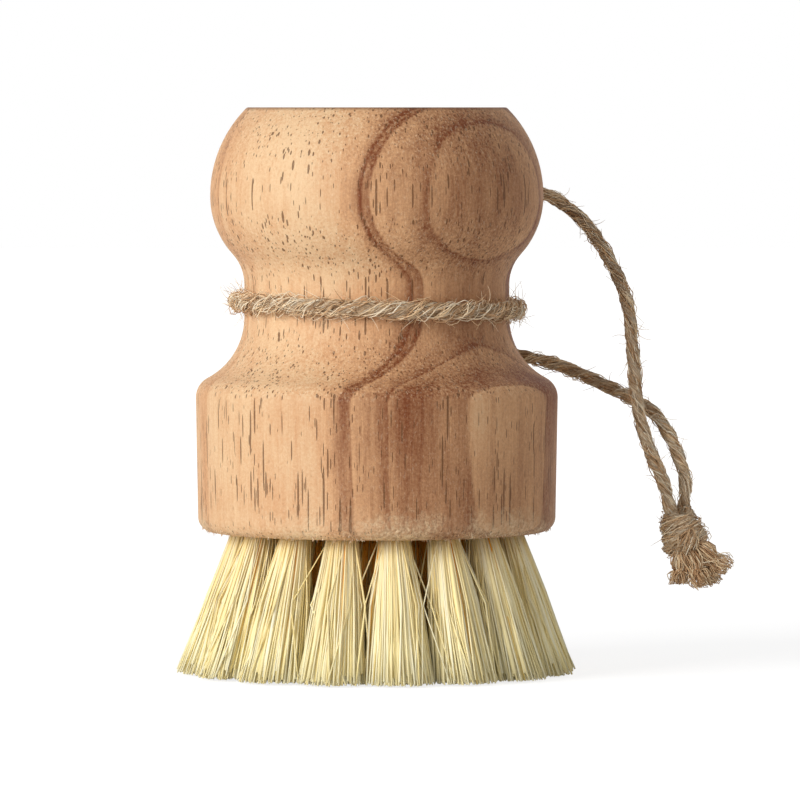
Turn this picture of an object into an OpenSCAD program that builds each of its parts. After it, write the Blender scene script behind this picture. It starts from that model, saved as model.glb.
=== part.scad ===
// Palm brush: a turned wooden handle, tufts of plant fibre held by staples in
// drilled holes, and a loop of twine round the waist to hang it by.
// Millimetres. Z is up and is the axis that the handle was turned on. The
// origin is the middle of the surface that the bristle tips stand on.

/* [Handle] */
// Height of the wooden handle
handle_h = 58.5; // [54:0.5:66]
// Diameter of the flat on top
top_d = 35.8; // [30:0.2:38]
// Diameter of the knob at its widest
knob_d = 46; // [43:0.5:50]
// Distance from the flat on top down to the widest place of the knob
knob_drop = 12.2; // [11:0.2:14]
// Radius of the knob's underside
knob_under_r = 12; // [10.5:0.25:13]
// Radius of the cove between knob and waist
neck_cove_r = 6.2; // [5:0.2:7]
// Diameter of the waist
waist_d = 36.6; // [34:0.2:38]
// Radius of the cove between waist and shoulder
shoulder_cove_r = 9.5; // [8:0.25:11]
// Radius of the shoulder's corner
shoulder_corner_r = 3; // [2:0.25:4]
// Diameter of the base, just below the shoulder
base_d = 50; // [48:0.5:56]
// Height of the base, from its underside to the middle of the shoulder's corner
base_h = 18.5; // [16:0.5:21]
// How much smaller in diameter the base is at its lower edge
base_taper = 0.6; // [0:0.1:1.5]
// Radius of the base's lower edge
base_edge_r = 2; // [1:0.25:3]
// Radius of the edge round the flat on top
top_edge_r = 0.5; // [0.3:0.1:1]

/* [Tufts] */
// Free length of the bristles, from the wood to their cut tips
bristle_len = 19.5; // [14:0.5:24]
// Tufts in the outer ring
outer_count = 16; // [12:1:18]
// Diameter of the circle of holes of the outer ring
outer_pitch_d = 36; // [35:0.5:37]
// Outward lean of the outer tufts, in degrees
outer_lean = 16; // [10:0.5:18]
// Tufts in the middle ring
middle_count = 10; // [8:1:11]
// Diameter of the circle of holes of the middle ring
middle_pitch_d = 22; // [21:0.5:23]
// Outward lean of the middle tufts, in degrees
middle_lean = 9; // [7:0.5:10]
// Tufts in the inner ring
inner_count = 4; // [3:1:4]
// Diameter of the circle of holes of the inner ring
inner_pitch_d = 9.4; // [9:0.2:10]
// Outward lean of the inner tufts, in degrees
inner_lean = 3.5; // [2:0.5:4]
// Turn of the outer ring from the front, in degrees
outer_turn = 7.5; // [0:0.5:22.5]
// Diameter of a tuft's hole
hole_d = 4.3; // [3.8:0.1:4.5]
// Depth of a tuft's hole
hole_depth = 11; // [9:0.5:13]
// Clearance between a tuft's packed root and its hole, on the radius
root_fit = 0.05; // [0.02:0.01:0.1]
// Least height by which a packed root stands out of the wood
root_out = 0.25; // [0.1:0.05:0.5]
// Thickness of a tuft at its tips, measured from the middle of the brush outwards
tip_t = 8; // [6:0.25:8]
// Gap between neighbouring tufts of a ring at their tips
tip_gap = 0.3; // [0.2:0.1:1]
// Thickness of a strand where it leaves the root
strand_root_d = 0.74; // [0.5:0.02:0.76]
// Thickness of a strand at its tip
strand_tip_d = 1.45; // [0.8:0.05:1.5]

/* [Staples] */
// Width of a staple over its two legs
staple_w = 3.6; // [3:0.1:3.6]
// Thickness of the flat wire that a staple is bent from
wire_t = 0.7; // [0.5:0.05:0.8]
// Width of the flat wire
wire_w = 0.9; // [0.6:0.1:1.2]
// Height of the staple's crown above the bottom of the hole
staple_seat = 1.6; // [1.2:0.1:2.4]
// How far the legs go into the wood below the hole
staple_bite = 4; // [3:0.25:5]
// Length of the point on each leg
staple_point = 0.9; // [0.5:0.1:1.5]

/* [Twine] */
// Diameter of the twine
twine_d = 2; // [1.6:0.1:2.2]
// Thickness of the twine where it lies flattened on the waist
turn_t = 1.6; // [1.2:0.1:2]
// Height of the twine where it lies flattened on the waist
turn_h = 2.2; // [1.6:0.1:2.4]
// Clearance all round between the twine and the waist
twine_gap = 0.25; // [0.15:0.05:0.5]
// Height of the twine's turn above the lower end of the waist
turn_up = 1.6; // [1:0.1:2.2]
// Tilt of the turn, down to the right, in degrees
turn_tilt = 1.6; // [0:0.2:2]
// Radius of the hitch behind the waist
hitch_r = 2.8; // [2.6:0.1:3.2]
// Length of the knot at the end of the loop
knot_l = 6.8; // [6:0.2:8]
// Radius of the knot
knot_r = 3.3; // [3.1:0.1:3.8]
// Tilt of the knot's foot to the right, in degrees
knot_tilt = 14; // [0:1:20]

/* [Hidden] */
$fn = 96;
RINGS = [
    ["outer", outer_count, outer_pitch_d / 2, outer_lean, outer_turn],
    ["middle", middle_count, middle_pitch_d / 2, middle_lean, 0],
    ["inner", inner_count, inner_pitch_d / 2, inner_lean, 45],
];
// Each tuft is its ring and its number in that ring.
TUFTS = [for (ring = RINGS) for (k = [0 : ring[1] - 1]) [ring, k]];

// Strands of a tuft: one in the middle, and two rings round it
strand_rings = [1, 5, 10];
strand_sides = 3;
// How deep a strand starts inside the packed root, and how far it stays from its edge
strand_embed = 0.6;
strand_in = 0.08;

wood_z = bristle_len;
top_z = wood_z + handle_h;
top_r = top_d / 2;
knob_r = knob_d / 2;
waist_r = waist_d / 2;
base_r = base_d / 2;
low_r = base_r - base_taper / 2;
hole_r = hole_d / 2;
root_r = hole_r - root_fit;
strands_r = root_r - strand_root_d / 2 - strand_in;

// Centres of the arcs of the handle's outline, as [radius, height]
knob_z = top_z - knob_drop;
knob_over_r = (pow(knob_r - top_r, 2) + pow(knob_drop, 2)) / (2 * (knob_r - top_r));
knob_over_c = [knob_r - knob_over_r, knob_z];
knob_under_c = [knob_r - knob_under_r, knob_z];
neck_cove_c = touching(knob_under_c, waist_r + neck_cove_r, knob_under_r + neck_cove_r, -1);
corner_c = [base_r - shoulder_corner_r, wood_z + base_h];
shoulder_cove_c = touching(corner_c, waist_r + shoulder_cove_r,
    shoulder_corner_r + shoulder_cove_r, 1);
low_edge_c = [low_r - base_edge_r, wood_z + base_edge_r];
top_edge_c = [
    knob_over_c.x + sqrt(pow(knob_over_r - top_edge_r, 2) - pow(knob_drop - top_edge_r, 2)),
    top_z - top_edge_r
];
// Where the arcs meet
knob_foot = along(knob_under_c, neck_cove_c, knob_under_r);
shoulder = along(corner_c, shoulder_cove_c, shoulder_corner_r);
top_shoulder = along(knob_over_c, top_edge_c, knob_over_r);
side_a = tangent_angle(low_edge_c, base_edge_r, corner_c, shoulder_corner_r);

// The loop of twine
turn_z = shoulder_cove_c.y + turn_up;
turn_steps = 24;
turn_r = (waist_r + twine_gap + turn_t / 2) / cos(180 / turn_steps);
// The hitch is a ball pulled against the waist, cut flat where twine leaves it
hitch_y = waist_r + 0.8 * hitch_r;
hitch_c = [0, hitch_y, turn_z];
hitch_flat = 0.84 * hitch_r;
upper_out = unit([0.30, 0.45, 0.84]);
lower_out = unit([0.34, 0.55, -0.76]);
// Part of the turn, at each end, over which the twine lifts off the waist
lift_a = 30;
// The knot's middle, and its own directions
knot_c = [42.7, 8, 18.6];
knot_axis = [sin(knot_tilt), 0, -cos(knot_tilt)];
knot_side = [cos(knot_tilt), 0, sin(knot_tilt)];
knot_back = [0, 1, 0];
// Radius of the knot's flat ends
knot_flat_r = knot_r - 0.7;
// Wraps of the knot: height over its length, radius, and how far inside knot_r it stays
wraps = [[-0.31, 1.2, 0.5], [0.03, 2, 0], [0.31, 1.2, 0.5]];
// How far a leg enters the knot from the middle of its upper face
leg_apart = [0.95, 1.1];
// Route of the upper leg, from behind the waist over to the knot
upper_route = [
    [2.5, 23, 56], [5, 24.5, 60], [8.5, 25, 63.5], [12.5, 24.5, 66],
    [17, 23, 67], [21.5, 20.5, 66.5], [25.5, 18, 64.8], [29, 16, 62],
    [31.5, 14, 58.5], [33.5, 12, 54.8], [35, 10.5, 50.5], [35.5, 9.5, 46.3],
    [35.8, 8.5, 42], [36.2, 7.5, 37.8], [36.8, 6.8, 34], [38.2, 6.5, 29.8],
    [39.8, 6.5, 26],
];
// Route of the lower leg, from behind the waist down to the knot
lower_route = [
    [3, 23.6, 46.9], [6.5, 24.4, 45.3], [10.5, 24.4, 44.3], [15, 23.7, 43.7],
    [20, 22.5, 43], [24.5, 20.8, 42], [28, 18.5, 40.8], [31, 16, 39.5],
    [34, 13.5, 38.1], [36.4, 11.5, 36.9], [38.8, 10.4, 35.2], [40.7, 10, 32.4],
    [42.1, 9.6, 29.2], [43, 9.4, 26],
];
// Frayed ends below the knot: place on the knot's lower face, and tip
frays = [
    [[-1.5, 0], [42.2, 7.6, 11.8]],
    [[0.1, -1.4], [46.2, 6.6, 11.3]],
    [[0.2, 1.4], [47.6, 9.6, 11.9]],
    [[1.7, 0], [49.2, 8, 13.9]],
];
// Radius of a frayed end at the knot, halfway and at its tip
fray_r = [0.75, 0.95, 0.45];
// How far a frayed end bows down before it turns to its tip
fray_bow = 0.5;

function unit(v) = v / norm(v);

// Direction in the plane at an angle
function polar(a) = [cos(a), sin(a)];

// Point between a and b, at the distance d from a
function along(a, b, d) = a + d * unit(b - a);

// Centre, at the radius x, of an arc whose centre is the distance d from c
function touching(c, x, d, up) = [x, c.y + up * sqrt(d * d - pow(x - c.x, 2))];

// Direction, seen from both centres, of the line that touches two circles outside
function tangent_angle(a, ra, b, rb) =
    atan2(b.y - a.y, b.x - a.x) - acos((ra - rb) / norm(b - a));

function tuft_name(tuft) =
    str("tuft_", tuft[0][0], "_", tuft[1] < 9 ? "0" : "", tuft[1] + 1);

// The handle's outline, from the axis outwards
module handle_outline() {
    difference() {
        union() {
            polygon([
                [0, wood_z],
                [low_edge_c.x, wood_z],
                low_edge_c + base_edge_r * polar(side_a),
                corner_c + shoulder_corner_r * polar(side_a),
                shoulder,
                [waist_r, shoulder_cove_c.y],
                [waist_r, neck_cove_c.y],
                knob_foot,
                [knob_r, knob_z],
                top_shoulder,
                [top_edge_c.x, top_z],
                [0, top_z],
            ]);
            translate(low_edge_c) circle(base_edge_r);
            translate(corner_c) circle(shoulder_corner_r);
            translate(knob_under_c) circle(knob_under_r);
            translate(top_edge_c) circle(top_edge_r);
            intersection() {
                translate(knob_over_c) circle(knob_over_r);
                translate([0, knob_z]) square([knob_r + 1, top_shoulder.y - knob_z]);
            }
        }
        translate(shoulder_cove_c) circle(shoulder_cove_r);
        translate(neck_cove_c) circle(neck_cove_r);
        translate([-knob_r, 0]) square([knob_r, top_z + 1]);
    }
}

// Puts its children at a tuft's hole: the origin at its mouth and Z into the wood
module at_tuft(tuft) {
    ring = tuft[0];
    rotate(-90 + ring[4] + tuft[1] * 360 / ring[1])
        translate([ring[2], 0, wood_z])
            rotate([0, -ring[3], 0])
                children();
}

module tuft_hole() {
    translate([0, 0, -hole_r]) cylinder(r = hole_r, h = hole_depth + hole_r);
}

// A flat wire bent into a U, with its crown towards the mouth of the hole
module staple() {
    top = hole_depth - staple_seat;
    tip = hole_depth + staple_bite;
    half = staple_w / 2;
    rotate([90, 0, 90])
        translate([0, 0, -wire_w / 2])
            linear_extrude(wire_w)
                polygon([
                    [-half, top + wire_t], [-half + wire_t, top],
                    [half - wire_t, top], [half, top + wire_t],
                    [half, tip - staple_point], [half - wire_t, tip],
                    [half - wire_t, top + wire_t], [-half + wire_t, top + wire_t],
                    [-half + wire_t, tip], [-half, tip - staple_point],
                ]);
}

module handle() {
    color("burlywood") difference() {
        rotate_extrude() handle_outline();
        for (tuft = TUFTS)
            at_tuft(tuft) {
                tuft_hole();
                staple();
            }
    }
}

module staples() {
    color("silver") for (tuft = TUFTS) at_tuft(tuft) staple();
}

// Places of the strands in a tuft, in a circle of radius 1
strand_places = [
    for (r = [0 : len(strand_rings) - 1])
        for (k = [0 : strand_rings[r] - 1])
            r / (len(strand_rings) - 1) * polar((k + r / 2) * 360 / strand_rings[r])
];

// Radius of the circle on which the tips of a ring of tufts are centred
function tip_ring_r(ring) = ring[2] + bristle_len * tan(ring[3]);

// Half the width of a tuft at its tips, which stays clear of the next in its ring
function tip_half_w(ring) =
    let (a = 180 / ring[1])
    sqrt(pow(tip_ring_r(ring) * sin(a) - tip_gap / 2, 2) - pow(tip_t / 2 * sin(a), 2)) / cos(a);

// How far a tuft's root reaches out of its hole
function root_end(ring) = hole_r * sin(ring[3]) + root_out;

// A strand's middle where it leaves the root and at its tip, for a tuft at angle 0
function strand_line(ring, place) =
    let (
        lean = ring[3],
        u = [cos(lean), 0, sin(lean)],
        down = [sin(lean), 0, -cos(lean)],
        root = place * strands_r,
        start = [ring[2], 0, wood_z] + down * (root_end(ring) - strand_embed)
            + u * root.x + [0, root.y, 0],
        tip = [
            tip_ring_r(ring) + place.x * (tip_t - strand_tip_d) / 2,
            place.y * (tip_half_w(ring) - strand_tip_d / 2),
            0
        ]
    )
    [start, tip];

module strand(ring, place) {
    line = strand_line(ring, place);
    u = [cos(ring[3]), 0, sin(ring[3])];
    corners = [for (k = [0 : strand_sides - 1]) polar(k * 360 / strand_sides)];
    points = concat(
        [for (c = corners) line[0] + strand_root_d / 2 * (c.x * u + [0, c.y, 0])],
        [for (c = corners) line[1] + strand_tip_d / 2 * [c.x, c.y, 0]]
    );
    polyhedron(points, tube_faces(2, strand_sides), convexity = 2);
}

// A tuft: its folded and packed root in the hole, and the strands that leave it
module bristle_tuft(tuft) {
    ring = tuft[0];
    color("lemonchiffon") union() {
        difference() {
            at_tuft(tuft)
                translate([0, 0, -root_end(ring)])
                    cylinder(r = root_r, h = root_end(ring) + hole_depth);
            at_tuft(tuft) staple();
        }
        rotate(-90 + ring[4] + tuft[1] * 360 / ring[1])
            for (place = strand_places) strand(ring, place);
    }
}

// Faces of a tube of n rings of corners, closed at both ends, all triangles
function tube_faces(n, sides) = concat(
    [for (k = [1 : sides - 2]) [0, k + 1, k]],
    [for (k = [1 : sides - 2]) let (e = (n - 1) * sides) [e, e + k, e + k + 1]],
    [
        for (i = [0 : n - 2])
            for (k = [0 : sides - 1])
                let (a = i * sides + k, b = i * sides + (k + 1) % sides)
                each [[a, b, a + sides], [b, b + sides, a + sides]]
    ]
);

// Direction of a route at its point i, where first and last are its end directions
function heading(route, i, first, last) =
    i == 0 ? first :
    i == len(route) - 1 ? last :
    unit(route[i + 1] - route[i - 1]);

// Corners of the rings of a tube along a route. half holds, for each point, half
// the thickness across and along the reference direction.
function tube_points(route, first, last, half, sides, reference) = [
    for (i = [0 : len(route) - 1])
        let (
            t = heading(route, i, first, last),
            across = unit(cross(t, reference)),
            up = cross(across, t)
        )
        for (k = [0 : sides - 1])
            let (c = polar((k + 0.5) * 360 / sides))
            route[i] + half[i].x * c.x * across + half[i].y * c.y * up
];

module tube(route, first, last, half, sides, reference) {
    polyhedron(
        tube_points(route, first, last, half, sides, reference),
        tube_faces(len(route), sides),
        convexity = 8
    );
}

// Height of the turn at a place on it, as it tilts down to the right
function turn_height(p) = turn_z - p.x * tan(turn_tilt);

// The turn round the waist, from the left of the hitch round the front to its right
turn_start = atan(hitch_flat / hitch_y);
turn_route = [
    for (i = [0 : turn_steps - 1])
        let (
            a = 90 + turn_start + i * (360 - 2 * turn_start) / (turn_steps - 1),
            off = max(0, abs(a - 270) - 180 + turn_start + lift_a) / lift_a,
            p = (turn_r + (norm([hitch_flat, hitch_y]) - turn_r) * off * off) * polar(a)
        )
        [p.x, p.y, turn_height(p)]
];
upper_leg = concat([hitch_c + hitch_flat * upper_out], upper_route, [knot_top(-1)]);
lower_leg = concat([hitch_c + hitch_flat * lower_out], lower_route, [knot_top(1)]);

// Where a leg meets the knot, on one side of the middle of its upper face
function knot_top(side) =
    knot_c - knot_l / 2 * knot_axis
    + side * (leg_apart.x * knot_side + leg_apart.y * knot_back);

module twine_neck_turn() {
    color("tan")
        tube(turn_route, [-1, 0, 0], [-1, 0, 0],
            [for (p = turn_route) [turn_t / 2, turn_h / 2]], 6, [0, 0, 1]);
}

// The hitch that closes the turn, with a flat where each length of twine leaves it
module twine_hitch() {
    color("tan") difference() {
        translate(hitch_c) sphere(hitch_r);
        cylinder(r = waist_r + twine_gap, h = top_z);
        for (out = [[1, 0, 0], [-1, 0, 0], upper_out, lower_out])
            translate(hitch_c)
                rotate([0, acos(out.z), atan2(out.y, out.x)])
                    translate([0, 0, hitch_flat]) cylinder(r = hitch_r, h = hitch_r);
    }
}

module twine_leg(route, out) {
    color("tan")
        tube(route, out, knot_axis, [for (p = route) [twine_d, twine_d] / 2], 8, [0, 1, 0]);
}

// The knot, as its wraps one below the other
module twine_knot() {
    color("tan") translate(knot_c) rotate([0, 180 - knot_tilt, 0]) rotate_extrude()
        difference() {
            union() {
                translate([0, -knot_l / 2]) square([knot_flat_r, knot_l]);
                for (wrap = wraps)
                    translate([knot_r - wrap[1] - wrap[2], wrap[0] * knot_l]) circle(wrap[1]);
            }
            translate([-knot_r, -knot_l]) square([knot_r, 2 * knot_l]);
        }
}

// The ends of the twine, which come unlaid below the knot
module twine_ends() {
    color("tan") for (fray = frays) {
        start = knot_c + knot_l / 2 * knot_axis
            + fray[0].x * knot_side + fray[0].y * knot_back;
        middle = (start + fray[1]) / 2 + fray_bow * knot_axis;
        tube([start, middle, fray[1]], knot_axis, unit(fray[1] - middle),
            [for (r = fray_r) [r, r]], 6, [0, 1, 0]);
    }
}

// Points of a route with others between them, to measure gaps on
function dense(route, n) = [
    for (i = [0 : len(route) - 2])
        for (k = [0 : n - 1])
            route[i] + (route[i + 1] - route[i]) * k / n
];

function least(a, b) = min([for (p = a) for (q = b) norm(p - q)]);

turn_dense = dense(turn_route, 4);
half_turn = len(turn_dense) / 2;
echo("Least gap of the turn of twine to itself", least(
    [for (i = [0 : half_turn - 8]) turn_dense[i]],
    [for (i = [half_turn + 8 : 2 * half_turn - 1]) turn_dense[i]]
) - turn_h);
echo("Least gap between the legs of twine",
    least(dense(upper_leg, 8), dense(lower_leg, 8)) - twine_d);
echo("Least gap between strands of a tuft, at the root and at the tips", min([
    for (i = [1 : len(strand_places) - 1]) for (j = [0 : i - 1])
        norm(strand_places[i] - strand_places[j]) * strands_r
]) - strand_root_d, min([
    for (i = [1 : len(strand_places) - 1]) for (j = [0 : i - 1])
        norm(strand_places[i] - strand_places[j]) * (tip_t - strand_tip_d) / 2
]) - strand_tip_d);

handle();
staples();
for (tuft = TUFTS)
    bristle_tuft(tuft);
twine_neck_turn();
twine_hitch();
twine_leg(upper_leg, upper_out);  // twine_upper_leg
twine_leg(lower_leg, lower_out);  // twine_lower_leg
twine_knot();
twine_ends();
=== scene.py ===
import math
import random
import bpy
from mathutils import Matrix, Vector, noise


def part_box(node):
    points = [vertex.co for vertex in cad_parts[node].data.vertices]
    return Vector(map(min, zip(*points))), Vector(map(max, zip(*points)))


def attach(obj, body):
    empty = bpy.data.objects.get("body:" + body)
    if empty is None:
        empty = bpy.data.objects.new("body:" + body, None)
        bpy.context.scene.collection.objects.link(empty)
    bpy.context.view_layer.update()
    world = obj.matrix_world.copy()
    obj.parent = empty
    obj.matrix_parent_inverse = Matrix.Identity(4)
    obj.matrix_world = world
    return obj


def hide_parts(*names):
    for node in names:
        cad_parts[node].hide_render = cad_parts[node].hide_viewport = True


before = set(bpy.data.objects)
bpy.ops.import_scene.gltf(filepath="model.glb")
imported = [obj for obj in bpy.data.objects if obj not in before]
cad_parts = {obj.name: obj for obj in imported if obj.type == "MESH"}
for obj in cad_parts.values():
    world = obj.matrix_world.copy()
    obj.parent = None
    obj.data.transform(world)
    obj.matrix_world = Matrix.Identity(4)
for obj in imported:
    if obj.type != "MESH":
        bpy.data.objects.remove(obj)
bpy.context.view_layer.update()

mm = 0.001
bpy.ops.object.select_all(action="DESELECT")

# Camera: as high as the flat top, looking a little down

camera = {
    "distance": 1.0,
    "height": 0.078,
    "lens": 326,
    "aim": (0.0032, 0, 0.0376),
}

bpy.ops.object.camera_add(location=(0, -camera["distance"], camera["height"]))
eye = bpy.context.object
eye.data.lens = camera["lens"]
eye.rotation_euler = (Vector(camera["aim"]) - eye.location).to_track_quat("-Z", "Y").to_euler()
bpy.context.scene.camera = eye
print("camera placed")


# Node helpers for all the finishes

def addNode(tree, kind, inputs=None, **settings):
    made = tree.nodes.new("ShaderNode" + kind)
    for key, value in settings.items():
        setattr(made, key, value)
    for socket, value in (inputs or {}).items():
        if isinstance(value, bpy.types.NodeSocket):
            tree.links.new(value, made.inputs[socket])
        else:
            made.inputs[socket].default_value = value
    return made


def calc(tree, operation, a, b=0.0):
    return addNode(tree, "Math", {0: a, 1: b}, operation=operation).outputs[0]


def fade(tree, value, low, high, start=0.0, end=1.0):
    # value from low to high becomes start to end, held at both
    made = addNode(tree, "MapRange", {"Value": value, "From Min": low, "From Max": high,
                                      "To Min": start, "To Max": end})
    return made.outputs["Result"]


def mixColour(tree, factor, a, b):
    return addNode(tree, "Mix", {0: factor, 6: a, 7: b}, data_type="RGBA").outputs[2]


def scaled(tree, vector, size):
    return addNode(tree, "Mapping", {"Vector": vector, "Scale": size}).outputs[0]


def grain(tree, vector, scale, detail=2.0, rough=0.5):
    made = addNode(tree, "TexNoise", {"Vector": vector, "Scale": scale, "Detail": detail,
                                      "Roughness": rough})
    return made.outputs["Fac"]


def swayed(tree, value, pattern, amount):
    # value moved up and down by a noise, whose middle is 0.5
    return calc(tree, "ADD", value,
                calc(tree, "MULTIPLY", calc(tree, "SUBTRACT", pattern, 0.5), amount))


def colourRamp(tree, value, stops):
    made = addNode(tree, "ValToRGB", {"Fac": value})
    ramp = made.color_ramp
    while len(ramp.elements) < len(stops):
        ramp.elements.new(1.0)
    for element, (place, colour) in zip(ramp.elements, stops):
        element.position = place
        element.color = colour
    return made.outputs["Color"]


def paint(hexColour):
    # a colour as it looks on screen, made linear
    parts = [int(hexColour[i:i + 2], 16) / 255 for i in (0, 2, 4)]
    return (*[p / 12.92 if p <= 0.04045 else ((p + 0.055) / 1.055) ** 2.4 for p in parts], 1)


def painted(stops):
    return [(place, paint(colour)) for place, colour in stops]


def startFinish(name, roughness, specular):
    made = bpy.data.materials.new(name)
    made.use_nodes = True
    surface = made.node_tree.nodes["Principled BSDF"]
    surface.inputs["Roughness"].default_value = roughness
    surface.inputs["Specular IOR Level"].default_value = specular
    return made, made.node_tree, surface


def bumped(tree, surface, height, distance, strength):
    made = addNode(tree, "Bump", {"Height": height, "Distance": distance, "Strength": strength})
    tree.links.new(made.outputs[0], surface.inputs["Normal"])


def seenDirectly(tree):
    # 1 for what the camera, a gloss or a glass sees, 0 for light that falls on things
    rays = addNode(tree, "LightPath").outputs
    mirrored = calc(tree, "MAXIMUM", rays["Is Glossy Ray"], rays["Is Transmission Ray"])
    return calc(tree, "MAXIMUM", rays["Is Camera Ray"], mirrored)


# Paths and strands

def smoothPath(points, step):
    # a rounded line through the points, cut into even steps
    points = [Vector(p) for p in points]
    ends = [2 * points[0] - points[1]] + points + [2 * points[-1] - points[-2]]
    line = []
    for a, b, c, d in zip(ends, ends[1:], ends[2:], ends[3:]):
        for k in range(16):
            t = k / 16
            line.append(0.5 * (2 * b + (c - a) * t + (2 * a - 5 * b + 4 * c - d) * t * t
                               + (3 * b - a - 3 * c + d) * t ** 3))
    line.append(points[-1])
    run = [0.0]
    for a, b in zip(line, line[1:]):
        run.append(run[-1] + (b - a).length)
    count = max(4, round(run[-1] / step))
    even, k = [], 0
    for i in range(count + 1):
        want = run[-1] * i / count
        while k < len(run) - 2 and run[k + 1] < want:
            k += 1
        even.append(line[k].lerp(line[k + 1], (want - run[k]) / max(run[k + 1] - run[k], 1e-9)))
    return even


def pathFrames(line, reference):
    # for each point of a line: the point, a side and an up, carried along without twisting
    frames = []
    up = Vector(reference)
    for i, place in enumerate(line):
        heading = (line[min(i + 1, len(line) - 1)] - line[max(i - 1, 0)]).normalized()
        up = (up - up.dot(heading) * heading).normalized()
        frames.append((place, heading.cross(up), up))
    return frames


def meshObject(name, vertices, faces):
    mesh = bpy.data.meshes.new(name)
    mesh.from_pydata(vertices, [], faces)
    mesh.polygons.foreach_set("use_smooth", [True] * len(mesh.polygons))
    made = bpy.data.objects.new(name, mesh)
    bpy.context.collection.objects.link(made)
    return made


def growStrands(name, strands):
    # thin four-sided strands, each a list of (point, radius) and a tone, as one mesh
    curve = bpy.data.curves.new(name, "CURVE")
    curve.dimensions = "3D"
    curve.bevel_depth = 1
    curve.bevel_resolution = 0
    curve.use_fill_caps = True
    tones, alongs = [], []
    for _, tone in reversed(strands):  # the converted mesh starts with all the end caps
        tones += [tone] * 8
        alongs += [1.0] * 4 + [0.0] * 4
    for dots, tone in strands:
        spline = curve.splines.new("POLY")
        spline.points.add(len(dots) - 1)
        for k, (place, radius) in enumerate(dots):
            spline.points[k].co = (*place, 1)
            spline.points[k].radius = radius
            tones += [tone] * 4
            alongs += [k / (len(dots) - 1)] * 4
    made = bpy.data.objects.new(name, curve)
    bpy.context.collection.objects.link(made)
    bpy.ops.object.select_all(action="DESELECT")
    made.select_set(True)
    bpy.context.view_layer.objects.active = made
    bpy.ops.object.convert(target="MESH")
    made = bpy.context.object
    made.data.attributes.new("tone", "FLOAT", "POINT").data.foreach_set("value", tones)
    made.data.attributes.new("along", "FLOAT", "POINT").data.foreach_set("value", alongs)
    bpy.ops.object.mode_set(mode="EDIT")
    bpy.ops.mesh.select_all(action="SELECT")
    bpy.ops.mesh.remove_doubles(threshold=1e-6)
    bpy.ops.mesh.normals_make_consistent(inside=False)
    bpy.ops.object.mode_set(mode="OBJECT")
    bpy.ops.object.shade_smooth()
    return made


def finishPiece(piece, finish, body, slot, *nodes):
    piece.data.materials.clear()
    piece.data.materials.append(finish)
    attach(piece, body)
    if nodes:
        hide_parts(*nodes)


# Wood: a turned block with year rings, pores, a worn foot and painted shade along the top rim

wood = {
    "light": "E6C196",
    "plain": "D6A376",
    "dark": "773D1B",
    "pore": "66401F",
    "fleck": "FBE6C6",  # torn fibre ends that catch the light
    "worn": "EBCDA4",
    # painted shade: the dark line along the rim of the top
    "rimShade": "6B4A35",
    "ringWay": (math.sin(math.radians(48)), -math.cos(math.radians(48)), 0),
    "ringSide": (math.cos(math.radians(48)), math.sin(math.radians(48)), 0),
    "ringBend": 7.5,  # a year ring bends round a pith 67 mm behind
    "knobBow": (66.8 * mm, 28 * mm, 1.9 * mm),  # height, length and depth of the bow in the knob
    "wave": 1.6 * mm,  # how far the rings wander, over long and short stretches
    "ripple": 0.35 * mm,
    "halfSpan": 30 * mm,
    # how late the wood is, by distance along ringWay in mm: 0 is pale, 1 a dark line; the rise
    # towards the right is partly painted shade on the side away from the key light
    "late": [(-30, 0.3), (-22, 0.2), (-20, 0.4), (-19.6, 0.16), (-11, 0.2), (-8, 0.36),
             (-7.6, 0.14), (2, 0.1), (9, 0.14), (13, 0.22), (15.0, 0.42), (15.8, 0.68),
             (16.05, 1.0), (16.3, 1.0), (16.48, 0.58), (16.7, 0.95), (16.85, 0.95), (17.0, 0.46),
             (18.6, 0.52), (20.6, 0.7), (21.05, 0.85), (21.2, 1.0), (21.35, 0.52), (22.0, 0.62),
             (23.4, 0.84), (25.6, 0.88), (26.1, 1.0), (26.2, 0.42), (30, 0.5)],
    "lateInBase": 0.72,  # the rings are softer below the waist
    # size of a cell in mm, how much of it a pore fills, and the share of cells that have none
    "pores": [((0.7, 0.7, 22), 0.23, 0.2), ((0.5, 0.5, 8.5), 0.24, 0.15),
              ((0.36, 0.36, 3.2), 0.22, 0.25)],
    "wornHeight": 4.2 * mm,
    "rimRadius": (16.4 * mm, 17.3 * mm),  # where the painted shade of the top rim begins, and is full
}


def yearRings(tree, place, height):
    # how late the wood is, by its distance across the rings; darker to the right partly as painted
    # shade
    across = addNode(tree, "VectorMath", {0: place, 1: wood["ringWay"]}, operation="DOT_PRODUCT")
    aside = addNode(tree, "VectorMath", {0: place, 1: wood["ringSide"]}, operation="DOT_PRODUCT")
    across, aside = across.outputs["Value"], aside.outputs["Value"]
    bend = calc(tree, "MULTIPLY", calc(tree, "MULTIPLY", aside, aside), wood["ringBend"])
    middle, period, depth = wood["knobBow"]
    above = calc(tree, "MAXIMUM", calc(tree, "SUBTRACT", height, middle), -period / 2)
    bow = calc(tree, "COSINE", calc(tree, "MULTIPLY", above, math.tau / period))
    bow = calc(tree, "MULTIPLY", calc(tree, "SUBTRACT", 1, bow), depth / 2)
    bow = calc(tree, "MULTIPLY", bow, fade(tree, across, 16 * mm, 19 * mm))
    distance = calc(tree, "ADD", calc(tree, "ADD", across, bend), bow)
    wave = grain(tree, scaled(tree, place, (1, 1, 0.2)), 60, 2)
    distance = swayed(tree, distance, wave, wood["wave"])
    ripple = grain(tree, scaled(tree, place, (1, 1, 0.25)), 420, 3)
    distance = swayed(tree, distance, ripple, wood["ripple"])
    span = wood["halfSpan"]
    # the ramp holds the year rings and, rising to the right, painted shade
    late = colourRamp(tree, fade(tree, distance, -span, span),
                      [((d * mm + span) / (2 * span), (t, t, t, 1)) for d, t in wood["late"]])
    softer = fade(tree, height, 36 * mm, 45 * mm, wood["lateInBase"], 1.0)
    return calc(tree, "MINIMUM", late, softer)


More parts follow.
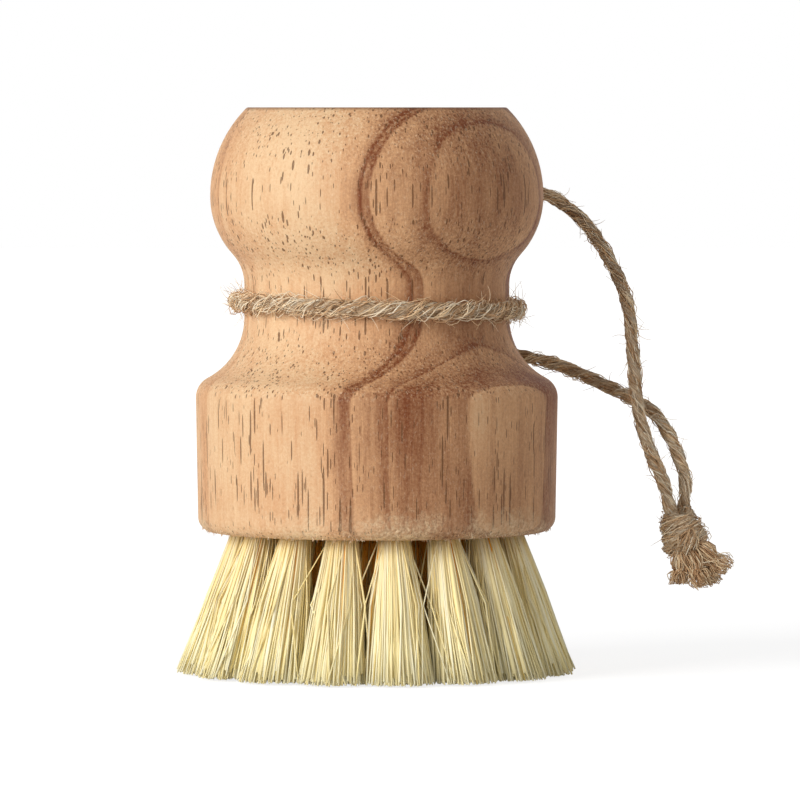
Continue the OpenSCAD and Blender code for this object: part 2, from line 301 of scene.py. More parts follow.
def woodPores(tree, place, tilt):
    # long cells along the grain, in groups, each with its own length of pore or none
    group = grain(tree, scaled(tree, place, (1, 1, 0.2)), 180, 2)
    group = fade(tree, group, 0.38, 0.6, 0.72, 1.22)
    pore = 0.0
    for size, fill, none in wood["pores"]:
        cells = addNode(tree, "TexVoronoi", {
            "Vector": scaled(tree, place, tuple(1 / (s * mm) for s in size)),
            "Scale": 1.0, "Randomness": 1.0}, feature="F1")
        chance = addNode(tree, "SeparateColor", {0: cells.outputs["Color"]}).outputs[0]
        reach = calc(tree, "MULTIPLY", fade(tree, chance, none, 0.75), fill)
        reach = calc(tree, "MULTIPLY", reach, group)
        edge = calc(tree, "SUBTRACT", reach, cells.outputs["Distance"])
        pore = calc(tree, "MAXIMUM", pore, fade(tree, edge, 0.0, 0.03))
    return calc(tree, "MULTIPLY", pore, fade(tree, tilt, 0.8, 0.95, 0.8, 0.4))


def makeWood():
    made, tree, surface = startFinish("turnedWood", 0.62, 0.28)
    place = addNode(tree, "TexCoord").outputs["Object"]
    split = addNode(tree, "SeparateXYZ", {0: place}).outputs
    facing = addNode(tree, "SeparateXYZ", {0: addNode(tree, "NewGeometry").outputs["Normal"]})
    tilt = calc(tree, "ABSOLUTE", facing.outputs[2])
    rough = fade(tree, tilt, 0.1, 0.55, 0.7, 1.7)  # slanting parts are cut across the grain

    # rings, then fibre along the grain, fine and broad
    fine = grain(tree, scaled(tree, place, (1, 1, 0.045)), 3200, 3, 0.6)
    broad = grain(tree, scaled(tree, place, (1, 1, 0.07)), 620, 3, 0.55)
    cloud = grain(tree, scaled(tree, place, (1, 1, 0.6)), 75, 3)
    fuzz = grain(tree, place, 2600, 3, 0.7)
    shade = yearRings(tree, place, split[2])
    for pattern, amount in ((broad, 0.5), (cloud, 0.85), (fine, 0.35),
                            (fuzz, calc(tree, "MULTIPLY", rough, 0.75))):
        shade = swayed(tree, shade, pattern, amount)
    colour = colourRamp(tree, shade, painted([(0.0, wood["light"]), (0.34, wood["plain"]),
                                              (1.0, wood["dark"])]))
    pore = woodPores(tree, place, tilt)
    colour = mixColour(tree, pore, colour, paint(wood["pore"]))
    fleck = fade(tree, grain(tree, scaled(tree, place, (1, 1, 0.5)), 3600, 2, 0.7),
                 0.56, 0.72, 0.0, 0.2)
    colour = mixColour(tree, calc(tree, "MULTIPLY", fleck, rough), colour, paint(wood["fleck"]))

    # the worn foot, ragged and speckled
    low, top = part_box("handle")[0].z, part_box("handle")[1].z
    ragged = swayed(tree, split[2], grain(tree, place, 900, 4, 0.7), 9 * mm)
    worn = fade(tree, ragged, low + 0.2 * mm, low + wood["wornHeight"], 1.0, 0.0)
    patchy = fade(tree, grain(tree, place, 130, 2), 0.42, 0.56, 0.25, 1.0)
    worn = calc(tree, "MULTIPLY", worn, patchy)
    speck = fade(tree, grain(tree, place, 2300, 2, 0.7), 0.4, 0.6, 0.25, 0.9)
    colour = mixColour(tree, calc(tree, "MULTIPLY", worn, speck), colour, paint(wood["worn"]))

    # painted shade: a dark line along the rim of the top
    flat = addNode(tree, "CombineXYZ", {0: split[0], 1: split[1]}).outputs[0]
    radius = addNode(tree, "VectorMath", {0: flat}, operation="LENGTH").outputs["Value"]
    rimmed = calc(tree, "MULTIPLY", fade(tree, split[2], top - 0.5 * mm, top - 0.15 * mm),
                  fade(tree, radius, *wood["rimRadius"]))
    colour = mixColour(tree, calc(tree, "MULTIPLY", rimmed, 0.55), colour,
                       paint(wood["rimShade"]))
    tree.links.new(colour, surface.inputs["Base Color"])

    # relief: the fibre, the pores and the worn foot
    height = calc(tree, "ADD", calc(tree, "MULTIPLY", fine, 0.35),
                  calc(tree, "MULTIPLY", fuzz, 0.35))
    height = calc(tree, "SUBTRACT", height, calc(tree, "MULTIPLY", pore, 1.1))
    pitted = calc(tree, "MULTIPLY", grain(tree, place, 1900, 2), 1.2)
    height = calc(tree, "SUBTRACT", height, calc(tree, "MULTIPLY", worn, pitted))
    bumped(tree, surface, height, 0.2 * mm, 0.9)
    return made


# Wire and splinters

wire = {"light": "B9BCC0", "dark": "8D9196"}


def makeWire():
    made, tree, surface = startFinish("flatWire", 0.32, 0.5)
    place = addNode(tree, "TexCoord").outputs["Object"]
    drawn = grain(tree, scaled(tree, place, (1, 1, 0.1)), 4000, 2)
    colour = mixColour(tree, drawn, paint(wire["light"]), paint(wire["dark"]))
    tree.links.new(colour, surface.inputs["Base Color"])
    surface.inputs["Metallic"].default_value = 1.0
    bumped(tree, surface, drawn, 0.02 * mm, 0.5)
    return made


def toneFinish(name, roughness, specular, stops):
    # a plain finish for strands, coloured by each strand's tone
    made, tree, surface = startFinish(name, roughness, specular)
    tone = addNode(tree, "Attribute", attribute_name="tone").outputs["Fac"]
    tree.links.new(colourRamp(tree, tone, painted(stops)), surface.inputs["Base Color"])
    return made


# Handle and staples keep their solids

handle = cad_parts["handle"]
for name, finish in (("handle", makeWood()), ("staples", makeWire())):
    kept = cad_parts[name].data
    kept.materials.clear()
    kept.materials.append(finish)
print("handle and staples finished")

# Splinters along the lower rim, where the wood tore

rim = {
    "splinters": 360,
    "radius": 23.4 * mm,
    "scatter": 0.5 * mm,
    "height": 0.9 * mm,
    "length": (0.15 * mm, 0.5 * mm),
    "thick": 0.12 * mm,
    "tones": [(0.0, "FBE9CC"), (1.0, "C9996B")],
}


def rimSplinters():
    dice = random.Random(41)
    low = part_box("handle")[0].z
    strands = []
    for _ in range(rim["splinters"]):
        a = dice.uniform(0, math.tau)
        out = Vector((math.cos(a), math.sin(a), 0))
        near = out * (rim["radius"] + dice.gauss(0, rim["scatter"]))
        near.z = low + dice.uniform(0, rim["height"])
        _, spot, normal, _ = handle.closest_point_on_mesh(near)
        beside = Vector((-out.y, out.x, 0))
        along = beside * dice.uniform(-1, 1) + Vector((0, 0, -0.9)) + normal * 0.4
        length = dice.uniform(*rim["length"])
        dots = []
        for k in range(3):
            place = spot + along.normalized() * length * k / 2 - normal * 0.02 * mm
            dots.append((place, rim["thick"] / 2 * (1.1 - 0.4 * k)))
        strands.append((dots, dice.random()))
    return strands


finishPiece(growStrands("rimSplinters", rimSplinters()),
            toneFinish("splinter", 0.7, 0.2, rim["tones"]), "brush", "wood")
print("splinters raised")

# Twine: two plies laid together, their fibres, and stray hairs

twine = {
    "thick": 2.0 * mm,
    "lay": 7.4 * mm,  # length in which the two plies turn once
    "step": 0.3 * mm,
    "sides": 16,
    "plyRadius": 0.3,  # a ply's radius and its middle's way out, as shares of the thickness
    "plyOut": 0.2,
    "ridges": 5,  # bundles of fibre that show on a ply
    "ridgeDepth": 0.12,
    "roughDepth": 0.12,
    "lumps": 0.14,
    "fibreThick": 0.135 * mm,
    "fibreLength": (2.2 * mm, 5.0 * mm),
    "hairThick": 0.075 * mm,
    "hairLength": (0.9 * mm, 3.6 * mm),
    "pushedFrom": 1.2 * mm,  # a point is moved out of the wood only from this near its surface
    # tones of the fibre stripes; the palest are painted highlights on fibres lying along the twine
    "tones": [(0.3, "96704B"), (0.4, "DDB488"), (0.5, "FADFB8"), (0.64, "FFF4DE")],
    "hairTones": [(0.0, "8F6A46"), (0.2, "D0A67B"), (0.5, "F3D5AA"), (1.0, "FFF3DA")],
    # painted shade in the grooves between the fibres
    "fibreGapShade": "7A4F28",
    "patch": "C09468",
    "legByWood": "7A6252",  # the legs are greyer by the wood than by the knot
    "turnShadeRight": "9A6633",  # painted shade: the turn round the waist is darker and browner towards the right, away from the key light
}


def makeJute():
    made, tree, surface = startFinish("juteTwine", 0.72, 0.25)
    lie = addNode(tree, "Attribute", attribute_name="lie").outputs["Vector"]
    strandy = grain(tree, scaled(tree, lie, (3.2, 3.2, 0.5)), 1.7, 3, 0.65)
    finer = grain(tree, scaled(tree, lie, (10, 10, 0.9)), 1.7, 2, 0.6)
    place = addNode(tree, "TexCoord").outputs["Object"]
    patch = fade(tree, grain(tree, place, 190, 2), 0.4, 0.7, 0.0, 0.2)
    # stripes of fibre tone along the plies, the palest of them painted highlights
    colour = colourRamp(tree, strandy, painted(twine["tones"]))
    # painted shade: dark lines between the fibres
    colour = mixColour(tree, fade(tree, finer, 0.48, 0.62, 0.0, 0.56), colour,
                       paint(twine["fibreGapShade"]))
    colour = mixColour(tree, patch, colour, paint(twine["patch"]))

    # the turn ends before 21 mm to the right of the middle, so beyond that are legs and knot
    right = addNode(tree, "SeparateXYZ", {0: place}).outputs[0]
    onLeg = fade(tree, right, 21 * mm, 23 * mm)
    fromWood = addNode(tree, "VectorMath", {0: place, 1: (0.7, 0, -0.7)},
                       operation="DOT_PRODUCT").outputs["Value"]
    near = fade(tree, fromWood, -30 * mm, 4 * mm, 0.4, 0.0)
    colour = mixColour(tree, calc(tree, "MULTIPLY", near, onLeg), colour,
                       paint(twine["legByWood"]))
    # painted shade on the turn, growing towards the right
    shadedRight = calc(tree, "MULTIPLY", fade(tree, right, -20 * mm, 14 * mm, 0.04, 0.5),
                   calc(tree, "SUBTRACT", 1, onLeg))
    colour = mixColour(tree, shadedRight, colour, paint(twine["turnShadeRight"]))
    tree.links.new(colour, surface.inputs["Base Color"])
    height = calc(tree, "ADD", strandy, calc(tree, "MULTIPLY", finer, 0.6))
    bumped(tree, surface, height, 0.35 * mm, 0.9)
    return made


jute = makeJute()
hair = toneFinish("juteHair", 0.55, 0.3, twine["hairTones"])


def twineFrames(route, reference):
    return pathFrames(smoothPath(route, twine["step"]), reference)


def layTwine(name, routes, thick, seed, flat=(1, 1), reference=(0, 0, 1), thin=1.0):
    # two plies wound round each route; the attribute holds where a point lies in its ply
    vertices, faces, fibres = [], [], []
    plyRadius = twine["plyRadius"] * thick
    plyOut = twine["plyOut"] * thick
    sides = twine["sides"]
    for number, route in enumerate(routes):
        frames = twineFrames(route, reference)
        for ply in (0, 1):
            first = len(vertices)
            for i, (place, side, up) in enumerate(frames):
                run = i * twine["step"]
                turn = math.tau * (run / twine["lay"] + ply / 2 + 0.17 * number)
                lump = noise.noise(Vector((run / (2.2 * mm), 7.3 * ply + seed, number)))
                size = thin + (1 - thin) * min(1, 1.6 * i / len(frames))
                swell = (1 + twine["lumps"] * lump) * size
                centre = Vector((math.cos(turn), math.sin(turn))) * plyOut * size
                for k in range(sides):
                    a = math.tau * k / sides
                    lie = a - turn * 0.8
                    ridge = math.cos(twine["ridges"] * lie + 2 * lump)
                    rough = noise.noise(Vector((math.cos(lie) * 3, math.sin(lie) * 3,
                                                run / (1.1 * mm) + seed)))
                    radius = plyRadius * swell * (1 + twine["ridgeDepth"] * ridge
                                                  + twine["roughDepth"] * rough)
                    x = (centre.x + math.cos(a) * radius) * flat[0]
                    y = (centre.y + math.sin(a) * radius) * flat[1]
                    vertices.append(place + side * x + up * y)
                    fibres.append((math.cos(lie), math.sin(lie),
                                   run / mm + 40 * ply + 90 * number))
                if i:
                    last = len(vertices) - 2 * sides
                    for k in range(sides):
                        n = (k + 1) % sides
                        faces.append((last + k, last + n, last + sides + n, last + sides + k))
            faces.append(tuple(first + k for k in reversed(range(sides))))
            faces.append(tuple(len(vertices) - sides + k for k in range(sides)))
    made = meshObject(name, vertices, faces)
    lie = made.data.attributes.new("lie", "FLOAT_VECTOR", "POINT")
    lie.data.foreach_set("vector", [c for fibre in fibres for c in fibre])
    return made


def offTheWood(place, gap):
    # moves a point that lies just inside the handle out to its surface
    _, spot, normal, _ = handle.closest_point_on_mesh(place)
    if (place - spot).dot(normal) < gap and (place - spot).length < twine["pushedFrom"]:
        return spot + normal * gap
    return place


def surfaceFibres(routes, thick, seed, perMm, sprung=0.9, flat=(1, 1), reference=(0, 0, 1)):
    # coarse fibres that lie along the plies, some of them sprung off in a loop
    dice = random.Random(seed)
    strands = []
    for route in routes:
        frames = twineFrames(route, reference)
        count = int(len(frames) * twine["step"] / mm * perMm)
        for _ in range(count):
            reach = dice.uniform(*twine["fibreLength"]) / twine["step"]
            start = dice.uniform(0, max(1, len(frames) - 1 - reach))
            a = dice.uniform(0, math.tau)
            slant = dice.gauss(0.65, 0.4) * math.tau * twine["step"] / twine["lay"]
            loop = dice.random() ** 4 * sprung * mm
            deep = dice.uniform(0.44, 0.5) * thick
            wander = dice.uniform(-0.5, 0.5)
            thin = twine["fibreThick"] / 2 * dice.uniform(0.7, 1.25)
            dots = []
            for k in range(7):
                t = k / 6
                place, side, up = frames[min(int(start + reach * t), len(frames) - 1)]
                turn = a + slant * reach * t + wander * math.sin(math.pi * t)
                out = deep + loop * math.sin(math.pi * t) ** 2
                spot = (place + side * math.cos(turn) * out * flat[0]
                        + up * math.sin(turn) * out * flat[1])
                radius = thin * (0.45 + 0.55 * math.sin(math.pi * t))
                dots.append((offTheWood(spot, radius), radius))
            strands.append((dots, dice.random()))
    return strands


def strayHairs(routes, thick, seed, perMm, reach=1.0, flat=(1, 1), reference=(0, 0, 1)):
    # hairs that leave the twine at a low angle and curl; they stay out of the wood
    dice = random.Random(seed)
    strands = []
    for route in routes:
        frames = twineFrames(route, reference)
        count = int(len(frames) * twine["step"] / mm * perMm)
        for _ in range(count):
            at = dice.randrange(1, len(frames) - 1)
            place, side, up = frames[at]
            heading = side.cross(up) * dice.choice((-1, 1))
            a = dice.uniform(0, math.tau)
            out = (side * math.cos(a) + up * math.sin(a)).normalized()
            edge = side * math.cos(a) * flat[0] + up * math.sin(a) * flat[1]
            spot = place + edge * thick * 0.47
            length = dice.uniform(*twine["hairLength"]) * reach
            lift = dice.uniform(0.05, 1.0) ** 2
            curl = Vector([dice.uniform(-1, 1) for _ in range(3)])
            direction = (heading + out * lift + curl * 0.35).normalized()
            dots = []
            for k in range(6):
                radius = twine["hairThick"] / 2 * (1.15 - 0.14 * k)
                dots.append((offTheWood(spot, radius), radius))
                direction = (direction + curl * 0.22 - out * 0.22 * lift).normalized()
                spot = spot + direction * length / 5
            strands.append((dots, dice.random()))
    return strands


# The turn round the waist, as its solid has it

waist = {
    "turnRadius": 19.517 * mm,
    "turnHeight": 50.673 * mm,
    "tilt": math.tan(math.radians(1.6)),
    "lift": 30,  # degrees at each end over which the twine lifts off the waist
    "points": 48,
    "look": {"flat": (0.80, 1.10)},  # narrower and taller, as it is pressed on the wood
    "hitch": Vector((0, 20.54, 50.673)) * mm,
    "hitchFlat": 2.352 * mm,
    "upperOut": Vector((0.30, 0.45, 0.84)).normalized(),
    "lowerOut": Vector((0.34, 0.55, -0.76)).normalized(),
}


def turnRoute():
    # once round the waist, from the left of the hitch by the front to its right
    start = math.degrees(math.atan(waist["hitchFlat"] / waist["hitch"].y))
    far = math.hypot(waist["hitchFlat"], waist["hitch"].y)
    points = []
    for i in range(waist["points"]):
        a = 90 + start + i * (360 - 2 * start) / (waist["points"] - 1)
        off = max(0, abs(a - 270) - 180 + start + waist["lift"]) / waist["lift"]
        radius = waist["turnRadius"] + (far - waist["turnRadius"]) * off * off
        x = radius * math.cos(math.radians(a))
        points.append((x, radius * math.sin(math.radians(a)),
                       waist["turnHeight"] - x * waist["tilt"]))
    return points


turnTwine = layTwine("neckTurnTwine", [turnRoute()], twine["thick"], seed=7, **waist["look"])
finishPiece(turnTwine, jute, "hanging_loop", "twine", "twine_neck_turn")
turnHairs = growStrands(
    "turnHairs",
    strayHairs([turnRoute()], twine["thick"], seed=23, perMm=8, **waist["look"])
    + surfaceFibres([turnRoute()], twine["thick"], seed=33, perMm=10, **waist["look"]))
finishPiece(turnHairs, hair, "hanging_loop", "twine")
print("twine laid round the waist")

# The hitch behind the waist: the twine passes round itself twice

hitch = {
    "thick": 1.9 * mm,
    "size": 0.9,
    "points": [(-2.0, 0.1, 0.2), (-1.2, 1.5, 1.1), (0.6, 1.9, 1.3), (1.6, 0.6, 0.6),
               (1.2, -0.6, -0.9), (-0.4, 0.4, -1.7), (-1.6, 1.2, -0.9), (-0.8, 2.0, 0.4),
               (0.9, 1.9, -0.4), (1.9, 0.2, -0.2)],
}
hitchRoute = [waist["hitch"] + Vector(p) * mm * hitch["size"] for p in hitch["points"]]
hitchTwine = layTwine("hitchTwine", [hitchRoute], hitch["thick"], seed=11,
                      reference=(0.1, 0.2, 1))
finishPiece(hitchTwine, jute, "hanging_loop", "twine", "twine_hitch")
print("hitch tied")

# The knot: wraps round the two legs, and the end that comes out below them in front

knot = {
    "centre": Vector((42.7, 8, 18.6)) * mm,
    "tilt": math.radians(14),
    "length": 6.8 * mm,
    "legApart": (0.95 * mm, 1.1 * mm),
    "thick": 2.05 * mm,
    "from": -2.7,  # along the knot, in mm below its middle
    "to": 2.2,
    "turns": 3.9,
    "wide": (1.3, 2.2),  # half the width at the top and at the bottom
    "deep": (1.2, 1.9),
    "slope": 0.35,
    # points to the right, to the front and down, in mm from the middle
    "end": [(2.0, 0.6, 1.3), (1.3, 1.9, 0.6), (0.2, 2.6, 1.2), (-0.8, 2.2, 2.0), (-1.0, 1.0, 2.6)],
    "core": [[(-0.95, 1.1, -3.5), (-0.6, 0.6, -1.5), (-0.4, 0.2, 0.6), (-0.5, 0.2, 2.6)],
             [(0.95, -1.1, -3.5), (0.7, -0.5, -1.5), (0.5, -0.4, 0.6), (0.7, -0.3, 2.6)]],
}
knotDown = Vector((math.sin(knot["tilt"]), 0, -math.cos(knot["tilt"])))
knotSide = Vector((math.cos(knot["tilt"]), 0, math.sin(knot["tilt"])))
knotBack = Vector((0, 1, 0))


def inKnot(right, front, down):
    return (knot["centre"] + knotSide * right * mm - knotBack * front * mm
            + knotDown * down * mm)


def knotTop(side):
    apart = knotSide * knot["legApart"][0] + knotBack * knot["legApart"][1]
    return knot["centre"] - knotDown * knot["length"] / 2 + apart * side


def wrapRoute():
    points = []
    count = round(knot["turns"] * 12)
    for i in range(count + 1):
        t = i / count
        a = math.tau * knot["turns"] * t - 0.6
        grow = math.sin(min(1, 1.5 * t) * math.pi / 2)
        wide = knot["wide"][0] + (knot["wide"][1] - knot["wide"][0]) * grow
        deep = knot["deep"][0] + (knot["deep"][1] - knot["deep"][0]) * grow
        down = knot["from"] + (knot["to"] - knot["from"]) * t
        points.append(inKnot(wide * math.cos(a), -deep * math.sin(a),
                             down + knot["slope"] * math.cos(a)))
    return points


knotRoutes = [wrapRoute(), [inKnot(*p) for p in knot["end"]]]
coreRoutes = [[inKnot(*p) for p in core] for core in knot["core"]]
knotTwine = layTwine("knotTwine", knotRoutes + coreRoutes, knot["thick"], seed=13,
                     reference=(0.3, 1, 0.2))
finishPiece(knotTwine, jute, "hanging_loop", "twine", "twine_knot")
knotHairs = growStrands(
    "knotHairs",
    strayHairs([*knotRoutes, hitchRoute], 2.0 * mm, seed=25, perMm=3, reach=0.6)
    + surfaceFibres([*knotRoutes, hitchRoute], knot["thick"], seed=35, perMm=9))
finishPiece(knotHairs, hair, "hanging_loop", "twine")
print("knot tied")

# Frayed ends: four bunches that come unlaid below the knot

fray = {
    # root in the knot's own directions, and tip, both in mm
    "bunches": [((-1.0, 1.6, 2.0), (42.2, 6.6, 11.8)), ((-0.2, 1.9, 1.8), (45.6, 5.8, 11.5)),
                ((0.6, 0.2, 2.6), (47.4, 9.2, 11.9)), ((1.2, 1.7, 1.8), (49.2, 7.4, 13.9))],
    "strands": 130,
    "startSpread": 0.85 * mm,
    "endSpread": 1.2 * mm,
    "thick": 0.19 * mm,
    "bend": 0.95 * mm,
    "sag": 0.5 * mm,
    "uneven": 0.45,
}


def frayStrands():
    dice = random.Random(17)
    strands = []
    for root, tip in fray["bunches"]:
        start = inKnot(*root)
        tip = Vector(tip) * mm
        across = (tip - start).cross(Vector((0, 1, 0.2))).normalized()
        deep = (tip - start).cross(across).normalized()
        for _ in range(fray["strands"]):
            a, r = dice.uniform(0, math.tau), math.sqrt(dice.random())
            startOff = across * math.cos(a) * r + deep * math.sin(a) * r
            a += dice.gauss(0, 0.8)
            endOff = (across * math.cos(a) + deep * math.sin(a)) * r
            reach = 1.0 - fray["uneven"] * dice.random() ** 2
            bend = Vector([dice.uniform(-1, 1) for _ in range(3)]) * fray["bend"]
            begin = start + startOff * fray["startSpread"]
            end = tip + endOff * fray["endSpread"]
            dots = []
            for k in range(7):
                t = k / 6 * reach
                bow = (knotDown * fray["sag"] * math.sin(math.pi * t)
                       + bend * math.sin(math.tau * t))
                dots.append((begin.lerp(end, t) + bow, fray["thick"] / 2 * (1.1 - 0.5 * t)))
            strands.append((dots, dice.random() * 0.8))
    return strands


endsPiece = growStrands("frayedEnds", frayStrands())
finishPiece(endsPiece, hair, "hanging_loop", "twine", "twine_ends")
print("ends frayed")

# The two legs, from the hitch to the knot; a leg is thinner where it leaves the hitch

legs = {
    "upper": [(2.5, 23, 56), (5, 24.5, 60), (8.5, 25, 63.5), (12.5, 24.5, 66),
              (17, 23, 67), (21.5, 20.5, 66.5), (25.5, 18, 64.8), (29, 16, 62),
              (31.5, 14, 58.5), (33.5, 12, 54.8), (35, 10.5, 50.5), (35.5, 9.5, 46.3),
              (35.8, 8.5, 42), (36.2, 7.5, 37.8), (36.8, 6.8, 34), (38.2, 6.5, 29.8),
              (39.8, 6.5, 26)],
    "lower": [(3, 23.6, 46.9), (6.5, 24.4, 45.3), (10.5, 24.4, 44.3), (15, 23.7, 43.7),
              (20, 22.5, 43), (24.5, 20.8, 42), (28, 18.5, 40.8), (31, 16, 39.5),
              (34, 13.5, 38.1), (36.4, 11.5, 36.9), (38.8, 10.4, 35.2), (40.7, 10, 32.4),
              (42.1, 9.6, 29.2), (43, 9.4, 26)],
    "thick": 0.94 * twine["thick"],
    "upperThin": 0.8,
    "lowerThin": 0.84,
    "look": {"reference": (0, 1, 0)},
}


def legRoute(out, points, side):
    return ([waist["hitch"] + out * waist["hitchFlat"]]
            + [Vector(p) * mm for p in points] + [knotTop(side)])


def routeLength(points):
    line = smoothPath(points, twine["step"])
    return sum((b - a).length for a, b in zip(line, line[1:]))


upperLeg = legRoute(waist["upperOut"], legs["upper"], -1)
lowerLeg = legRoute(waist["lowerOut"], legs["lower"], 1)
upperTwine = layTwine("upperLegTwine", [upperLeg], legs["thick"], seed=3,
                      thin=legs["upperThin"], **legs["look"])
lowerTwine = layTwine("lowerLegTwine", [lowerLeg], legs["thick"], seed=5,
                      thin=legs["lowerThin"], **legs["look"])
finishPiece(upperTwine, jute, "hanging_loop", "twine", "twine_upper_leg")
finishPiece(lowerTwine, jute, "hanging_loop", "twine", "twine_lower_leg")
legHairs = growStrands(
    "legHairs",
    strayHairs([upperLeg, lowerLeg], 0.95 * twine["thick"], seed=21, perMm=4, reach=0.7,
               **legs["look"])
    + surfaceFibres([upperLeg, lowerLeg], 0.82 * twine["thick"], seed=31, perMm=9, sprung=0.45,
                    **legs["look"]))
finishPiece(legHairs, hair, "hanging_loop", "twine")

routeLength(upperLeg)
smoothPath(upperLeg, 1 * mm)
routeLength(lowerLeg)
smoothPath(lowerLeg, 1 * mm)
print("legs laid, in mm:", *[round(routeLength(leg) / mm, 1) for leg in (upperLeg, lowerLeg)])

# Tufts: each a fan of strands from its hole to the plane of the tips

tufts = {
    # goldenAndGlow: the least tone of a ring's strands, painted amber for light through the fibres
    # in the shaded gaps
    "outer": {"count": 16, "pitch": 18.0 * mm, "lean": 16, "turn": 7.5, "fibres": 720,
              "goldenAndGlow": 0},
    "middle": {"count": 10, "pitch": 11.0 * mm, "lean": 9, "turn": 0, "fibres": 420,
               "goldenAndGlow": 0.73},
    "inner": {"count": 4, "pitch": 4.7 * mm, "lean": 3.5, "turn": 45, "fibres": 260,
              "goldenAndGlow": 0.73},
}
bristle = {
    "rootRadius": 1.98 * mm,
    "thick": 0.23 * mm,
    "tipHalfThick": 3.9 * mm,
    "buried": 1.2 * mm,
    "uneven": 0.7 * mm,
    "offFloor": 0.08 * mm,
    "spiral": 2.39996,  # angle from one root to the next, which packs them evenly
    "loose": 0.07,  # how far a tip strays, as a share of the fan
    "sway": 0.22,  # how far a strand bows aside, in mm
    "strays": 0.07,  # share of strands that cross their neighbours
    "strayLoose": 0.55,
    "straySway": 1.7,
    "clump": 2.9,  # every third strand off the rim is a clump, this many times as thick
    "clumpShort": (0.02, 0.07),  # the share of its length by which a clump stops short
    "tones": [(0.0, "FFF9D8"), (0.3, "FFF2BE"), (0.6, "FAE6A0"), (0.78, "F2D274"),
              (1.0, "E59A1E")],
    # painted amber at the roots, for light through the fibres in the shaded gaps by the wood; the
    # golden strands take it too
    "root": "FAB03A",
}


def makeFibre():
    # cream, some strands golden; the middle and inner tufts painted amber for light shining
    # through the fibres into the shaded gaps; both deepen towards the wood
    made, tree, surface = startFinish("plantFibre", 0.42, 0.4)
    tone = addNode(tree, "Attribute", attribute_name="tone").outputs["Fac"]
    along = addNode(tree, "Attribute", attribute_name="along").outputs["Fac"]
    colour = colourRamp(tree, tone, painted(bristle["tones"]))
    goldenAndGlow = fade(tree, tone, 0.56, 0.62, 0.1, 1.0)
    # painted amber glow near the wood, on golden strands and on the middle and inner tufts
    root = calc(tree, "MULTIPLY", fade(tree, along, 0.2, 0.85, 1.0, 0.0), goldenAndGlow)
    colour = mixColour(tree, root, colour, paint(bristle["root"]))
    tree.links.new(colour, surface.inputs["Base Color"])
    return made


plantFibre = makeFibre()


def growTuft(ringName, number):
    ring = tufts[ringName]
    dice = random.Random(f"{ringName}{number}")
    angle = math.radians(-90 + ring["turn"] + number * 360 / ring["count"])
    lean = math.radians(ring["lean"])
    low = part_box("handle")[0].z
    out = Vector((math.cos(angle), math.sin(angle), 0))
    beside = Vector((-out.y, out.x, 0))
    up = Vector((0, 0, 1))
    down = out * math.sin(lean) - up * math.cos(lean)
    tilted = out * math.cos(lean) + up * math.sin(lean)
    mouth = out * ring["pitch"] + up * low
    tipMiddle = out * (ring["pitch"] + low * math.tan(lean))

    # the fan is as wide as its neighbours on the ring leave it room
    half = math.pi / ring["count"]
    room = ((tipMiddle.length * math.sin(half)) ** 2
            - (bristle["tipHalfThick"] * math.sin(half)) ** 2)
    tipHalfWide = math.sqrt(room) / math.cos(half) - 0.1 * mm
    strands = []
    for i in range(ring["fibres"]):
        r = math.sqrt((i + 0.5) / ring["fibres"])
        a = i * bristle["spiral"]
        x, y = r * math.cos(a), r * math.sin(a)
        root = mouth + (tilted * x + beside * y) * bristle["rootRadius"] - down * bristle["buried"]
        clump = i % 3 == 0 and r < 0.9
        stray = not clump and dice.random() < bristle["strays"]
        loose = bristle["strayLoose"] if stray else bristle["loose"]
        sway = bristle["straySway"] if stray else bristle["sway"]
        tx, ty = x + dice.gauss(0, loose), y + dice.gauss(0, loose)
        far = max(1.0, math.hypot(tx, ty) / 1.06)
        tip = (tipMiddle + out * tx / far * bristle["tipHalfThick"]
               + beside * ty / far * tipHalfWide
               + up * (bristle["uneven"] * dice.random() ** 2 + bristle["offFloor"]))
        bow = (out * dice.gauss(0, 0.2) + beside * dice.gauss(0, sway)) * mm
        thick = bristle["thick"] / 2 * dice.uniform(0.75, 1.25)
        if clump:
            thick *= bristle["clump"]
            tip += (root - tip) * dice.uniform(*bristle["clumpShort"])
        tone = dice.random() * (0.8 if dice.random() < 0.06 else 0.54)
        # the middle and inner rings: painted amber glow of light through the fibres in the shaded
        # gaps
        tone = max(tone, ring["goldenAndGlow"] * dice.random() ** 0.2)
        dots = []
        for k in range(5):
            t = k / 4
            place = root.lerp(tip, t) + bow * math.sin(math.pi * t) ** 2
            dots.append((place, thick * (0.8 + 0.8 * t - 0.6 * t * t)))
        strands.append((dots, tone))
    made = growStrands(f"bristles_{ringName}_{number + 1:02d}", strands)
    finishPiece(made, plantFibre, "brush", "bristle", f"tuft_{ringName}_{number + 1:02d}")


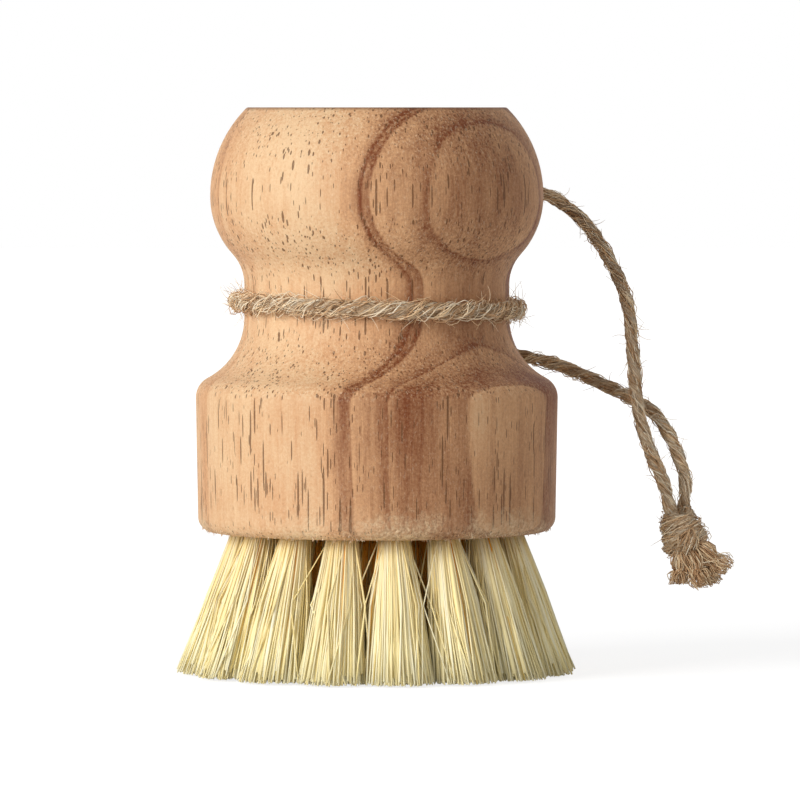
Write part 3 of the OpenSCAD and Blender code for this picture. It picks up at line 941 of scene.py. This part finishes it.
for ringName, ring in tufts.items():
    for number in range(ring["count"]):
        growTuft(ringName, number)
    print(ringName, "ring of", ring["count"], "tufts grown")

# Floor, light and a white background

studio = {
    "key": {"at": (-0.87, -0.77, 0.38), "size": 0.6, "power": 12.3},
    "fill": {"at": (0.9, -0.9, 0.3), "size": 0.9, "power": 1.7},
    "world": 0.31,
    "floor": 0.82,
    "floorNear": 1.6,  # the floor is as white as the background, and keeps the shadow
    "floorFar": 1.95,
}

bpy.ops.mesh.primitive_plane_add(size=6, location=(0, 0, -0.0002))
floor = bpy.context.object
floor.name = "floor"
paleFloor, tree, surface = startFinish("paleFloor", 0.9, 0.0)
surface.inputs["Base Color"].default_value = (*[studio["floor"]] * 3, 1)
away = addNode(tree, "VectorMath", {0: addNode(tree, "TexCoord").outputs["Object"]},
               operation="LENGTH").outputs["Value"]
whiter = fade(tree, away, 0.08, 0.5, studio["floorNear"], studio["floorFar"])
glow = addNode(tree, "Emission", {"Color": (1, 1, 1, 1), "Strength": whiter})
blend = addNode(tree, "MixShader", {0: calc(tree, "MULTIPLY", seenDirectly(tree), 0.5),
                                    1: surface.outputs[0], 2: glow.outputs[0]})
tree.links.new(blend.outputs[0], tree.nodes["Material Output"].inputs["Surface"])
floor.data.materials.append(paleFloor)

for name in ("key", "fill"):
    lamp = studio[name]
    bpy.ops.object.light_add(type="AREA", location=lamp["at"])
    shine = bpy.context.object
    shine.name = name + "Light"
    shine.data.size = lamp["size"]
    shine.data.energy = lamp["power"]
    aim = Vector((0, 0, 0.04)) - shine.location
    shine.rotation_euler = aim.to_track_quat("-Z", "Y").to_euler()

world = bpy.context.scene.world or bpy.data.worlds.new("studioWorld")
bpy.context.scene.world = world
world.use_nodes = True
tree = world.node_tree
sky = tree.nodes["Background"]
sky.inputs["Color"].default_value = (1, 1, 1, 1)
tree.links.new(fade(tree, seenDirectly(tree), 0, 1, studio["world"], 1.0), sky.inputs["Strength"])
bpy.context.scene.view_settings.view_transform = "Standard"
print("studio set")
